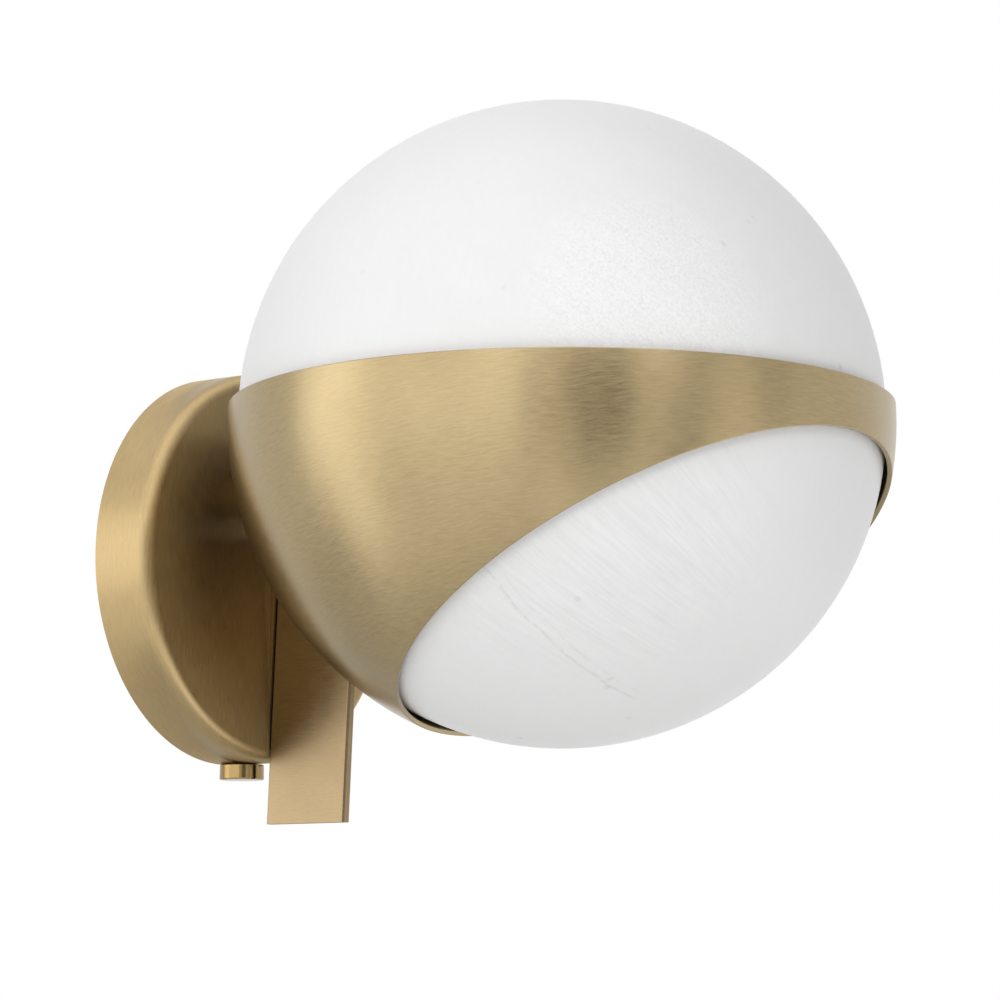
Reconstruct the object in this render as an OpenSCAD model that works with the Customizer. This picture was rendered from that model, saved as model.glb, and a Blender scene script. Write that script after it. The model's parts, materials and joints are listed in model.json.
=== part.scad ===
// Wall sconce: a white globe held in an open brass cradle, on a round wall canopy.
// Frame: origin at the canopy's centre on the wall, X to the right, -Y out of the wall, Z up.
// Distances out of the wall are named "out" and are measured along -Y from the wall.

/* [Canopy] */
// Outer diameter of the round canopy
canopy_d = 128; // [120:1:140]
// Depth of the canopy, from the wall to its face
canopy_depth = 21; // [20:0.5:26]
// Sheet thickness of the canopy
canopy_t = 1.3; // [0.9:0.1:2]
// Radius of the canopy's rounded front edge
canopy_edge_r = 4; // [3:0.5:6]

/* [Globe] */
// Outer diameter of the globe
globe_d = 200; // [180:2:220]
// Wall thickness of the globe
globe_t = 3; // [2.5:0.1:4]
// Height of the globe's centre above the canopy's centre
globe_rise = 36.7; // [32:0.5:40]
// Depth of the seam between dome and bowl below the cradle's rim
seam_drop = 2; // [1:0.25:3]
// Height of the lip that centres the dome on the bowl
lip_h = 3; // [2:0.25:4]
// Thickness of that lip
lip_t = 1.2; // [1:0.1:1.4]

/* [Cradle] */
// Sheet thickness of the cradle
cradle_t = 1.6; // [1.2:0.1:2.4]
// Gap between the globe and the inside of the cradle
globe_gap = 1.4; // [0.8:0.1:2]
// Gap between the canopy's face and the back of the cradle
cradle_gap = 10; // [8:0.5:14]
// Height of the cradle's rim above the globe's centre
rim_rise = 4.6; // [4:0.2:8]
// Angle below level at which the opening starts at the front
opening_front = 6.3; // [4:0.1:10]
// Angle past the lowest point at which the opening ends towards the wall
opening_back = 23.1; // [18:0.5:28]

/* [Support bar] */
// Thickness of the flat bar
bar_t = 3.5; // [3:0.1:5]
// Width of the bar across its side
bar_w = 31.6; // [26:0.1:36]
// Angle by which the bar leans out from the canopy at its top
bar_rake = 2.8; // [0:0.1:4]
// Depth of the bar's lower end below the canopy's centre
bar_drop = 84; // [78:1:92]
// Chamfer along the bar's long edges
bar_bevel = 0.6; // [0.3:0.1:0.8]
// Height of each tenon that passes through the canopy's face
tenon_h = 10; // [7:0.5:12]

/* [Wall bracket] */
// Width of the steel strap
strap_w = 24; // [20:1:30]
// Thickness of the steel strap
strap_t = 2; // [1.5:0.1:2.5]
// Distance between the centres of the two wall slots
slot_spacing = 70; // [66:1:76]
// Overall length of each wall slot
slot_l = 14; // [10:0.5:16]
// Width of each wall slot
slot_w = 4.5; // [4:0.1:5]

/* [Thumbscrew] */
// Diameter of the knob
knob_d = 14.6; // [12:0.2:18]
// Height of the knob
knob_h = 5; // [4:0.2:8]
// Diameter of the screw's shank
shank_d = 4; // [3:0.5:5]
// How far the shank reaches into the canopy
shank_l = 11; // [10:0.5:14]

/* [Lamp] */
// Outer diameter of the hollow threaded nipple
nipple_d = 10; // [9:0.5:12]
// Bore of the nipple, for the two wires
nipple_bore_d = 8; // [7:0.25:8.5]
// Depth of the nipple's axis below the globe's centre
nipple_drop = 12; // [10:0.5:14]
// Outer diameter of the spacer sleeve
spacer_d = 16; // [14:0.5:20]
// Distance from the globe's fixing to the lampholder's bracket
lamp_reach = 17; // [13:0.5:24]
// Length of the lampholder's ceramic body
holder_l = 16; // [15:0.5:20]
// Diameter of the bulb's cover
bulb_d = 16; // [14:0.5:18]
// Length of the bulb in front of its base
bulb_l = 34; // [28:1:44]

/* [Wiring] */
// Outer diameter of an insulated wire
wire_d = 2.2; // [1.8:0.1:2.4]
// Width of the terminal block
block_w = 25; // [24:0.5:28]
// Height of the terminal block
block_h = 16; // [14:0.5:18]
// Depth of the terminal block, out from the strap
block_deep = 12; // [9:0.5:13]

/* [Hidden] */
$fa = 3;
$fs = 0.4;
// Facets round the large spheres, which many pieces seat on
ball_fn = 360;

// Running clearance of a round pin in its hole, on the radius
fit = 0.05;
// Free clearance of a bolt or tenon in its hole, on each side
loose = 0.1;
// Rest gap between pieces of different bodies
rest = 0.3;
// How far a cutting shape passes a face
over = 1;

canopy_r = canopy_d / 2;
canopy_in_r = canopy_r - canopy_t;
face_in = canopy_depth - canopy_t;

globe_r = globe_d / 2;
globe_in_r = globe_r - globe_t;
cradle_in_r = globe_r + globe_gap;
cradle_r = cradle_in_r + cradle_t;
globe_out = canopy_depth + cradle_gap + cradle_r;
seam_rise = rim_rise - seam_drop;
lip_r = globe_in_r + lip_t;
opening_tilt = (90 + opening_back + opening_front) / 2;
opening_half = (90 + opening_back - opening_front) / 2;
// How far the cone that cuts the opening reaches from the globe's centre
opening_far = cradle_r + over;

pad_r = 5;
// Places of the globe's pads, as the angle round from the right and the angle below level
pad_angles = [[0, 20], [180, 20], [90, 50]];

nipple_z = globe_rise - nipple_drop;
nipple_hole_r = nipple_d / 2 + loose;
nut_af = 1.4 * nipple_d;
nut_t = 3;
washer_t = 0.8;
washer_d = 1.7 * nipple_d;
thread_past = 2.5;
nipple_in = face_in - washer_t - nut_t - thread_past;
gasket_r = 1.1 * nipple_d;
gasket_min = 1.5;
gasket_far = nipple_drop + gasket_r;
gasket_out = globe_out - sqrt(globe_in_r * globe_in_r - gasket_far * gasket_far) + gasket_min;
globe_washer_t = 1.5;
globe_washer_r = 1.2 * nipple_d;
bracket_out = gasket_out + globe_washer_t + lamp_reach;
stirrup_t = 1.2;
nipple_end = bracket_out + stirrup_t + washer_t;
stirrup_h = 12;
stirrup_w = 20;
stirrup_deep = 14;
ear_w = 7;
ear_x = stirrup_w / 2 + ear_w / 2;

holder_out = bracket_out + stirrup_h + stirrup_t;
holder_w = stirrup_w + 2;
holder_deep = 14;
holder_corner = 2;
lug_l = 5;
lug_w = stirrup_w + 2 * ear_w;
holder_screw_d = 3;
holder_head_d = 5;
holder_head_h = 1.8;
pin_x = 4.5;
pin_d = 1.3;
pin_l = 13;
contact_in_r = pin_d / 2 + 0.07;
contact_r = contact_in_r + 1;
socket_r = contact_r + fit;
contact_top = 1;
contact_l = holder_l - 3;
wire_hole_r = wire_d / 2 + loose;

bulb_out = holder_out + holder_l + rest;
bulb_base_l = 14;
bulb_base_d = bulb_d - 1;
bulb_wall = 0.8;
bulb_seat_l = 2;
bulb_foot_d = bulb_base_d - 3;
board_w = 7;
board_t = 1.2;
board_l = bulb_l - bulb_d / 2;

// Lowest level of the canopy's flat face, where the raked bar stands against it
bar_foot = canopy_r - canopy_edge_r;
bar_side = bar_t / 2 - bar_bevel;
bar_top_gap = 6.7;
bar_top = nipple_z - spacer_d / 2 - bar_top_gap;
tenon_reach = 5;
tenon_inset = 4;
tenon_low = 32;
tenon_t = 2 * bar_side;
// Lower edge of each tenon
tenon_z = [tenon_low - bar_drop, bar_top - tenon_inset - tenon_h];
bar_pin_d = 2.5;
bar_pin_l = 11;

lug_t = strap_t;
// Gap between the bracket's lower lug and the canopy's wall, at the lug's corners
lug_gap = 1;
lug_z = sqrt(canopy_in_r * canopy_in_r - strap_w * strap_w / 4) - lug_gap;
knob_clear = 0.9;
thumb_out = knob_d / 2 + knob_clear;
lug_out = thumb_out + shank_d / 2 + 5.5;
bush_d = 2 * shank_d;
bush_h = 4;
shank_hole_r = shank_d / 2 + fit;
thumb_washer_d = shank_d + 5;
thumb_washer_t = 0.5;
knob_gap = 0.25;
knob_chamfer = 0.6;
// Depth of the upper lug below the inside of the canopy
hook_below = 12.7;
hook_lug_z = canopy_in_r - hook_below;
hook_lip_h = 5;
hook_out = 12;
hook_w = 14;
hook_t = 1.5;
hook_foot_l = 12;
hook_drop = 4;
hook_top_z = hook_lug_z + lug_t + hook_lip_h;

block_top = -10;
block_out = strap_t + block_deep / 2;
pole_x = 8;
pole_hole_r = wire_d / 2 + loose;
pole_depth = 4;
pole_screw_d = 3;
pole_screw_l = 3;
block_groove = 1;
fixing_d = 2.5;
fixing_head_d = 4;
fixing_head_h = 1.6;
earth_z = 13;
earth_screw_d = 4;
earth_head_d = 7;
earth_head_h = 2.4;
tag_t = 0.8;
tag_r = 4;
barrel_r = wire_d / 2 + 0.6;
barrel_l = 4;
barrel_z = earth_z - tag_r - barrel_l - 1;
barrel_out = strap_t + barrel_r;
wire_pair_x = 1.6;
wire_sides = 8;
wire_level = nipple_z - block_top;

brass = [0.71, 0.61, 0.44];
polished_brass = [0.8, 0.68, 0.42];
steel = [0.62, 0.63, 0.64];
white_glass = [0.93, 0.93, 0.92];
ceramic_white = [0.95, 0.94, 0.91];
frosted = [0.97, 0.97, 0.95];
silicone = [0.82, 0.82, 0.8];
nylon = [0.86, 0.85, 0.8];

// Children stand at a distance out of the wall, their own +Z pointing out of it.
module out_from(out, z = 0) {
    translate([0, -out, z]) rotate([90, 0, 0]) children();
}

module on_lamp_axis(out) {
    out_from(out, nipple_z) children();
}

module at_globe() {
    translate([0, -globe_out, globe_rise]) children();
}

module ball(r) {
    sphere(r, $fn = ball_fn);
}

module ring(outer_r, inner_r, h) {
    difference() {
        cylinder(r = outer_r, h = h);
        translate([0, 0, -over]) cylinder(r = inner_r, h = h + 2 * over);
    }
}

module hex_nut(across, inner_r, h) {
    difference() {
        rotate([0, 0, 30]) cylinder(d = across / cos(30), h = h, $fn = 6);
        translate([0, 0, -over]) cylinder(r = inner_r, h = h + 2 * over);
    }
}

// A rounded block, centred across and standing on the plane.
module rounded_block(w, deep, h, corner) {
    linear_extrude(h) union() {
        square([w - 2 * corner, deep], center = true);
        square([w, deep - 2 * corner], center = true);
        for (x = [-1, 1], y = [-1, 1])
            translate([x * (w / 2 - corner), y * (deep / 2 - corner)]) circle(corner);
    }
}

module half_cup(r, h, edge) {
    square([r, h - edge]);
    square([r - edge, h]);
    translate([r - edge, h - edge]) circle(edge);
}

// Everything above a level of the globe, for cutting.
module above(level) {
    translate([-2 * globe_r, -2 * globe_r, level]) cube([4 * globe_r, 4 * globe_r, 2 * globe_r]);
}

module globe_wall() {
    difference() {
        ball(globe_r);
        ball(globe_in_r);
    }
}

function chaikin(p) = concat([p[0]],
    [for (i = [0:len(p) - 2], s = [0.25, 0.75]) p[i] * (1 - s) + p[i + 1] * s],
    [p[len(p) - 1]]);

function unit(v) = v / norm(v);

function tangent(p, i) = unit(p[min(i + 1, len(p) - 1)] - p[max(i - 1, 0)]);

// One ring of a wire's surface, square to the route; no route runs along X.
function wire_ring(p, i, r) =
    let (along = tangent(p, i), side = unit(cross(along, [1, 0, 0])), other = cross(along, side))
    [for (k = [0:wire_sides - 1]) p[i] + r * (cos(360 * k / wire_sides) * side + sin(360 * k / wire_sides) * other)];

module wire(route, r) {
    p = chaikin(chaikin(route));
    last = len(p) - 1;
    n = wire_sides;
    points = [for (i = [0:last], q = wire_ring(p, i, r)) q];
    walls = [for (i = [0:last - 1], k = [0:n - 1], half = [0, 1])
        let (a = i * n + k, b = i * n + (k + 1) % n)
        half == 0 ? [a, b, a + n] : [b, b + n, a + n]];
    ends = [for (k = [1:n - 2], end = [0, 1])
        end == 0 ? [0, k + 1, k] : [last * n, last * n + k, last * n + k + 1]];
    polyhedron(points = points, faces = concat(walls, ends));
}

// The wire on the right, from its pole up into the nipple and on to its contact.
lamp_route = [
    [pole_x, -block_out, block_top - pole_depth],
    [pole_x, -block_out, block_top + 3],
    [pole_x, -block_out, block_top + 0.3 * wire_level],
    [pole_x - 0.5, -block_out, block_top + 0.66 * wire_level],
    [pole_x / 2, -block_out, nipple_z - 3],
    [wire_pair_x, -block_out - 2, nipple_z],
    [wire_pair_x, -nipple_in, nipple_z],
    [wire_pair_x, -canopy_depth, nipple_z],
    [wire_pair_x, -bracket_out, nipple_z],
    [wire_pair_x, -nipple_end - 1.5, nipple_z],
    [pin_x, -holder_out + 3, nipple_z],
    [pin_x, -holder_out, nipple_z],
    [pin_x, -holder_out - holder_l + contact_top + contact_l, nipple_z]];

earth_route = [
    [0, -block_out, block_top - pole_depth],
    [0, -block_out, block_top + 3],
    [0, -block_out + 0.5, block_top + 6],
    [0, -barrel_out, barrel_z - 5],
    [0, -barrel_out, barrel_z]];

module wall_bracket() {
    color(steel) difference() {
        union() {
            translate([-strap_w / 2, -strap_t, -lug_z]) cube([strap_w, strap_t, lug_z + hook_lug_z + lug_t]);
            translate([-strap_w / 2, -lug_out, -lug_z]) cube([strap_w, lug_out, lug_t]);
            translate([-strap_w / 2, -hook_out, hook_lug_z]) cube([strap_w, hook_out, lug_t]);
            translate([-strap_w / 2, -hook_out, hook_lug_z])
                cube([strap_w, lug_t, lug_t + hook_lip_h]);
        }
        for (side = [-1, 1]) wall_slot(side * slot_spacing / 2);
        translate([0, -thumb_out, -lug_z - over]) cylinder(d = shank_d + 0.6, h = lug_t + 2 * over);
        out_from(-over, earth_z) cylinder(d = earth_screw_d, h = strap_t + 2 * over);
        for (x = [-pole_x / 2, pole_x / 2])
            translate([x, 0, block_top - block_h / 2]) out_from(-over) cylinder(d = fixing_d, h = strap_t + 2 * over);
    }
}

module wall_slot(z) {
    travel = slot_l - slot_w;
    out_from(-over, z) {
        translate([-slot_w / 2, -travel / 2, 0]) cube([slot_w, travel, strap_t + 2 * over]);
        for (end = [-1, 1])
            translate([0, end * travel / 2, 0]) cylinder(d = slot_w, h = strap_t + 2 * over);
    }
}

module bracket_bush() {
    color(polished_brass) translate([0, -thumb_out, lug_t - lug_z]) ring(bush_d / 2, shank_hole_r, bush_h);
}

module canopy() {
    color(brass) difference() {
        out_from(0) rotate_extrude() difference() {
            half_cup(canopy_r, canopy_depth, canopy_edge_r);
            translate([0, -over]) half_cup(canopy_in_r, face_in + over, canopy_edge_r - canopy_t);
        }
        on_lamp_axis(face_in - over) cylinder(r = nipple_hole_r, h = canopy_t + 2 * over);
        for (z = tenon_z)
            translate([-tenon_t / 2 - loose, -canopy_depth - over, z - loose])
                cube([tenon_t + 2 * loose, canopy_t + 2 * over, tenon_h + 2 * loose]);
        translate([0, -thumb_out, -canopy_r - over]) cylinder(d = shank_d + 0.8, h = canopy_t + 3 * over);
    }
}

// A steel clip brazed inside the canopy, which hangs over the bracket's lip.
module canopy_hook() {
    down_out = hook_out - lug_t - rest;
    color(steel) union() {
        translate([-hook_w / 2, -face_in, hook_top_z + hook_t - hook_foot_l])
            cube([hook_w, hook_t, hook_foot_l]);
        translate([-hook_w / 2, -face_in, hook_top_z])
            cube([hook_w, face_in - down_out + hook_t, hook_t]);
        translate([-hook_w / 2, -down_out, hook_top_z - hook_drop])
            cube([hook_w, hook_t, hook_drop + hook_t]);
    }
}

module thumbscrew() {
    top = -canopy_r - knob_gap;
    color(polished_brass) translate([0, -thumb_out, 0]) difference() {
        union() {
            translate([0, 0, top - knob_h + knob_chamfer])
                cylinder(d = knob_d, h = knob_h - knob_chamfer);
            translate([0, 0, top - knob_h])
                cylinder(d1 = knob_d - 2 * knob_chamfer, d2 = knob_d, h = knob_chamfer);
            translate([0, 0, top - knob_h / 2]) cylinder(d = shank_d, h = shank_l + knob_gap + knob_h / 2);
        }
        translate([0, 0, top - thumb_washer_t - fit])
            ring(thumb_washer_d / 2 + rest, shank_d / 2, thumb_washer_t + fit + over);
    }
}

module thumbscrew_washer() {
    color(nylon) translate([0, -thumb_out, -canopy_r - knob_gap - thumb_washer_t])
        ring(thumb_washer_d / 2, shank_hole_r, thumb_washer_t);
}

// A bevelled bar, leaning out from the lowest point of the canopy's flat face.
module raked_bar() {
    translate([0, -canopy_depth, -bar_foot]) rotate([bar_rake, 0, 0])
        translate([0, 0, -bar_drop]) linear_extrude(3 * bar_drop) polygon([
            [-bar_side, 0], [bar_side, 0], [bar_t / 2, -bar_bevel], [bar_t / 2, bar_bevel - bar_w],
            [bar_side, -bar_w], [-bar_side, -bar_w], [-bar_t / 2, bar_bevel - bar_w], [-bar_t / 2, -bar_bevel]]);
}

// Fills the wedge between the canopy's face and the raked bar, and reaches that far into the bar.
module bar_wedge(thickness, into) {
    rise = bar_top + bar_foot;
    translate([-thickness / 2, -canopy_depth, -bar_foot]) rotate([90, 0, 90]) linear_extrude(thickness)
        polygon([[0, 0], [-into, 0], [-into - rise * tan(bar_rake), rise], [0, rise]]);
}

// The flat bar stands edge-on to the wall; the cradle's sphere scoops its upper front edge.
module support_bar() {
    color(brass) difference() {
        union() {
            intersection() {
                raked_bar();
                translate([-bar_t, -globe_out, -bar_drop]) cube([2 * bar_t, globe_out, bar_top + bar_drop]);
            }
            bar_wedge(bar_t, 0);
            bar_wedge(tenon_t, over);
            for (z = tenon_z)
                translate([-tenon_t / 2, -canopy_depth - over, z])
                    cube([tenon_t, canopy_t + tenon_reach + over, tenon_h]);
        }
        at_globe() ball(cradle_r);
        for (z = tenon_z) bar_pin_at(z)
            translate([0, 0, -over]) cylinder(d = bar_pin_d, h = bar_pin_l + 2 * over);
    }
}

// Across each tenon, just behind the canopy's face.
module bar_pin_at(z) {
    translate([-bar_pin_l / 2, bar_pin_d / 2 - face_in, z + tenon_h / 2]) rotate([0, 90, 0]) children();
}

module bar_pins() {
    color(steel) for (z = tenon_z) bar_pin_at(z) cylinder(d = bar_pin_d, h = bar_pin_l);
}

module cradle() {
    color(brass) difference() {
        at_globe() difference() {
            ball(cradle_r);
            ball(cradle_in_r);
            above(rim_rise);
            rotate([90 + opening_tilt, 0, 0])
                cylinder(r1 = 0, r2 = opening_far * tan(opening_half), h = opening_far);
        }
        on_lamp_axis(canopy_depth) cylinder(r = nipple_hole_r, h = globe_out - canopy_depth);
    }
}

module spacer_sleeve() {
    color(brass) difference() {
        on_lamp_axis(canopy_depth) ring(spacer_d / 2, nipple_hole_r, 2 * cradle_gap);
        at_globe() ball(cradle_r);
    }
}

module nipple() {
    color(polished_brass) on_lamp_axis(nipple_in)
        ring(nipple_d / 2, nipple_bore_d / 2, nipple_end - nipple_in);
}

module nipple_nuts() {
    color(polished_brass) for (out = [nipple_in + thread_past, gasket_out + globe_washer_t, bracket_out - nut_t])
        on_lamp_axis(out) hex_nut(nut_af, nipple_d / 2, nut_t);
}

module lock_washers() {
    color(steel) {
        on_lamp_axis(face_in - washer_t) ring(washer_d / 2, nipple_hole_r, washer_t);
        on_lamp_axis(bracket_out - nut_t - washer_t) ring(washer_d / 2, nipple_hole_r, washer_t);
    }
}

module globe_bowl() {
    color(white_glass) difference() {
        at_globe() difference() {
            union() {
                difference() {
                    globe_wall();
                    above(seam_rise);
                }
                translate([0, 0, seam_rise - lip_h]) cylinder(r = lip_r, h = 2 * lip_h);
            }
            ball(globe_in_r);
        }
        on_lamp_axis(canopy_depth) cylinder(r = nipple_hole_r + 1, h = globe_out - canopy_depth);
    }
}

module globe_dome() {
    color(white_glass) at_globe() difference() {
        intersection() {
            globe_wall();
            above(seam_rise);
        }
        translate([0, 0, seam_rise - over]) cylinder(r = lip_r + rest, h = lip_h + rest + over);
    }
}

module globe_pads() {
    color(silicone) at_globe() for (place = pad_angles) intersection() {
        difference() {
            ball(cradle_in_r);
            ball(globe_r);
        }
        rotate([0, 90 + place[1], place[0]]) translate([0, 0, globe_in_r]) cylinder(r = pad_r, h = 3 * globe_t);
    }
}

module outer_gasket() {
    color(silicone) difference() {
        intersection() {
            on_lamp_axis(canopy_depth) ring(gasket_r, nipple_hole_r, globe_out - canopy_depth);
            at_globe() ball(cradle_in_r);
        }
        at_globe() ball(globe_r);
    }
}

module inner_gasket() {
    color(silicone) intersection() {
        on_lamp_axis(canopy_depth) ring(gasket_r, nipple_hole_r, gasket_out - canopy_depth);
        at_globe() ball(globe_in_r);
    }
}

module globe_washer() {
    color(steel) on_lamp_axis(gasket_out) ring(globe_washer_r, nipple_hole_r, globe_washer_t);
}

// A stirrup: base on the nipple, two walls and two ears turned outwards.
module lampholder_bracket() {
    color(steel) on_lamp_axis(bracket_out) difference() {
        union() {
            translate([-stirrup_w / 2, -stirrup_deep / 2, 0]) cube([stirrup_w, stirrup_deep, stirrup_t]);
            for (side = [0, 1]) mirror([side, 0, 0]) {
                translate([stirrup_w / 2 - stirrup_t, -stirrup_deep / 2, 0])
                    cube([stirrup_t, stirrup_deep, stirrup_h + stirrup_t]);
                translate([stirrup_w / 2 - stirrup_t, -stirrup_deep / 2, stirrup_h])
                    cube([stirrup_t + ear_w, stirrup_deep, stirrup_t]);
            }
        }
        translate([0, 0, -over]) cylinder(d = nipple_d, h = stirrup_t + 2 * over);
        for (side = [-1, 1])
            translate([side * ear_x, 0, stirrup_h - over]) cylinder(d = holder_screw_d, h = stirrup_t + 2 * over);
    }
}

module lampholder_body() {
    color(ceramic_white) on_lamp_axis(holder_out) difference() {
        union() {
            rounded_block(holder_w, holder_deep, holder_l, holder_corner);
            rounded_block(lug_w, holder_deep, lug_l, holder_corner);
        }
        for (side = [-1, 1]) {
            translate([side * pin_x, 0, -over]) cylinder(r = wire_hole_r, h = holder_l);
            translate([side * pin_x, 0, holder_l - contact_top - contact_l])
                cylinder(r = socket_r, h = contact_l + contact_top + over);
            translate([side * ear_x, 0, -over]) cylinder(d = holder_screw_d + 2 * loose, h = lug_l + 2 * over);
        }
    }
}

module lampholder_contacts() {
    color(polished_brass) on_lamp_axis(holder_out + holder_l - contact_top - contact_l) for (side = [-1, 1])
        translate([side * pin_x, 0, 0]) ring(contact_r, contact_in_r, contact_l);
}

module lampholder_screws() {
    color(steel) on_lamp_axis(holder_out) for (side = [-1, 1]) translate([side * ear_x, 0, 0]) {
        translate([0, 0, lug_l]) cylinder(d = holder_head_d, h = holder_head_h);
        translate([0, 0, -2 * stirrup_t]) cylinder(d = holder_screw_d, h = lug_l + 2 * stirrup_t);
    }
}

module bulb_base() {
    color(ceramic_white) on_lamp_axis(bulb_out) {
        cylinder(d1 = bulb_foot_d, d2 = bulb_base_d, h = bulb_seat_l);
        translate([0, 0, bulb_seat_l]) cylinder(d = bulb_base_d, h = bulb_base_l - bulb_seat_l);
    }
}

module bulb_pins() {
    color(steel) on_lamp_axis(bulb_out - pin_l) for (side = [-1, 1])
        translate([side * pin_x, 0, 0]) cylinder(d = pin_d, h = pin_l);
}

module bulb_capsule(r, l) {
    cylinder(r = r, h = l - r);
    translate([0, 0, l - r]) sphere(r);
}

module bulb_cover() {
    color(frosted) on_lamp_axis(bulb_out + bulb_base_l) difference() {
        bulb_capsule(bulb_d / 2, bulb_l);
        translate([0, 0, -over]) cylinder(r = bulb_d / 2 - bulb_wall, h = bulb_l - bulb_d / 2 + over);
        translate([0, 0, bulb_l - bulb_d / 2]) sphere(bulb_d / 2 - bulb_wall);
        translate([0, 0, -2 * bulb_d]) cylinder(r = bulb_d, h = 2 * bulb_d);
    }
}

module bulb_board() {
    color(ceramic_white) on_lamp_axis(bulb_out + bulb_base_l)
        translate([-board_w / 2, -board_t / 2, 0]) cube([board_w, board_t, board_l]);
}

module terminal_block() {
    color(frosted) translate([0, -strap_t, block_top - block_h]) difference() {
        translate([-block_w / 2, -block_deep, 0]) cube([block_w, block_deep, block_h]);
        for (x = [-pole_x, 0, pole_x], end = [0, 1])
            translate([x, -block_deep / 2, end == 0 ? -over : block_h - pole_depth])
                cylinder(r = pole_hole_r, h = pole_depth + over);
        for (x = [-pole_x, 0, pole_x], end = [0, 1])
            translate([x, -block_deep + pole_screw_l, pole_screw_z(end)]) rotate([90, 0, 0])
                cylinder(d = pole_screw_d, h = pole_screw_l + over);
        for (x = [-pole_x / 2, pole_x / 2]) {
            translate([x, over, block_h / 2]) rotate([90, 0, 0])
                cylinder(d = fixing_d + 2 * loose, h = block_deep + 2 * over);
            translate([x - block_groove / 2, -block_deep - over, -over])
                cube([block_groove, 2 * over, block_h + 2 * over]);
        }
    }
}

function pole_screw_z(end) = end == 0 ? pole_depth - 0.5 : block_h - pole_depth + 0.5;

module terminal_screws() {
    color(steel) translate([0, -strap_t, block_top - block_h]) for (x = [-pole_x, 0, pole_x], end = [0, 1])
        translate([x, -block_deep + pole_screw_l, pole_screw_z(end)]) rotate([90, 0, 0])
            cylinder(d = pole_screw_d, h = pole_screw_l - 0.5);
}

module block_screws() {
    color(steel) for (x = [-pole_x / 2, pole_x / 2]) translate([x, 0, 0]) {
        out_from(0, block_top - block_h / 2) cylinder(d = fixing_d, h = strap_t + block_deep);
        out_from(strap_t + block_deep, block_top - block_h / 2) cylinder(d = fixing_head_d, h = fixing_head_h);
    }
}

module live_wire() {
    color([0.42, 0.26, 0.16]) mirror([1, 0, 0]) wire(lamp_route, wire_d / 2);
}

module neutral_wire() {
    color([0.2, 0.36, 0.66]) wire(lamp_route, wire_d / 2);
}

module earth_wire() {
    color([0.45, 0.66, 0.2]) wire(earth_route, wire_d / 2);
}

module earth_screw() {
    color(polished_brass) {
        out_from(0, earth_z) cylinder(d = earth_screw_d, h = strap_t + tag_t);
        out_from(strap_t + tag_t, earth_z) cylinder(d = earth_head_d, h = earth_head_h);
    }
}

// A ring tag under the earth screw's head, with a crimped barrel on the wire.
module earth_tag() {
    color(steel) union() {
        out_from(strap_t, earth_z) ring(tag_r, earth_screw_d / 2, tag_t);
        translate([-barrel_r / 2, -strap_t - tag_t, barrel_z])
            cube([barrel_r, tag_t, earth_z - barrel_z - earth_screw_d / 2 - 0.4]);
        translate([0, -barrel_out, barrel_z]) cylinder(r = barrel_r, h = barrel_l);
    }
}

wall_bracket();
bracket_bush();
canopy();
canopy_hook();
thumbscrew();
thumbscrew_washer();
support_bar();
bar_pins();
cradle();
spacer_sleeve();
nipple();
nipple_nuts();
lock_washers();
globe_bowl();
globe_dome();
globe_pads();
outer_gasket();
inner_gasket();
globe_washer();
lampholder_bracket();
lampholder_body();
lampholder_screws();
lampholder_contacts();
bulb_base();
bulb_pins();
bulb_cover();
bulb_board();
terminal_block();
terminal_screws();
block_screws();
live_wire();
neutral_wire();
earth_wire();
earth_screw();
earth_tag();
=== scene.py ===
import json
import math

import bmesh
import bpy
from bpy.props import FloatProperty, FloatVectorProperty, IntProperty, PointerProperty
from mathutils import Matrix, Vector


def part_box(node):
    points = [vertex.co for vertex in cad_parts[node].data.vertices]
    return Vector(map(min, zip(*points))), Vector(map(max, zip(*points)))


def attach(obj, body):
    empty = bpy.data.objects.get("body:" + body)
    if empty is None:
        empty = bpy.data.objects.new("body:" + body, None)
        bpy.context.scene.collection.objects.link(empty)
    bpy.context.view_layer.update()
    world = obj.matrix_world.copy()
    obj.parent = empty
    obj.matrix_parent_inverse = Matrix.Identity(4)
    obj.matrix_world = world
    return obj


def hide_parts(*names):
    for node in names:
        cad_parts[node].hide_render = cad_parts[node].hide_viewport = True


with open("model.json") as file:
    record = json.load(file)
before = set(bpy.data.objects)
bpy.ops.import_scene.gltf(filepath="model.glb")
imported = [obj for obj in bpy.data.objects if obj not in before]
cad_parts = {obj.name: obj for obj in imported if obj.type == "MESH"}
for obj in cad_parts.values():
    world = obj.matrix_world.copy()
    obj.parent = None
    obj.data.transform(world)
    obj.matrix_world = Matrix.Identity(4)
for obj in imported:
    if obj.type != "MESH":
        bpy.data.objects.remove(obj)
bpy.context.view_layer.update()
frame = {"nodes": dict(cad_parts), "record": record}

bl_info = {
    "name": "Globe Wall Sconce",
    "version": (1, 0, 0),
    "blender": (4, 5, 0),
    "location": "View3D > Sidebar > Sconce",
    "description": "Finishes a wall sconce: brushed brass, white glass, lamp, wiring and a plain studio",
    "category": "Add Mesh",
}

MM = 0.001
# A distance too small to see, for comparing and merging places
HAIR = 0.01 * MM
NODES = frame["nodes"]
BODY_OF = {node: body for body, nodes in frame["record"]["behaviour"]["bodies"].items() for node in nodes}
CRADLE_LOW, CRADLE_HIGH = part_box("cradle")
CANOPY_LOW, CANOPY_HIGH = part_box("canopy")
NIPPLE_LOW, NIPPLE_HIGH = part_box("nipple")
GLOBE_LOW, GLOBE_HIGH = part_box("globe_dome")

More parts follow.
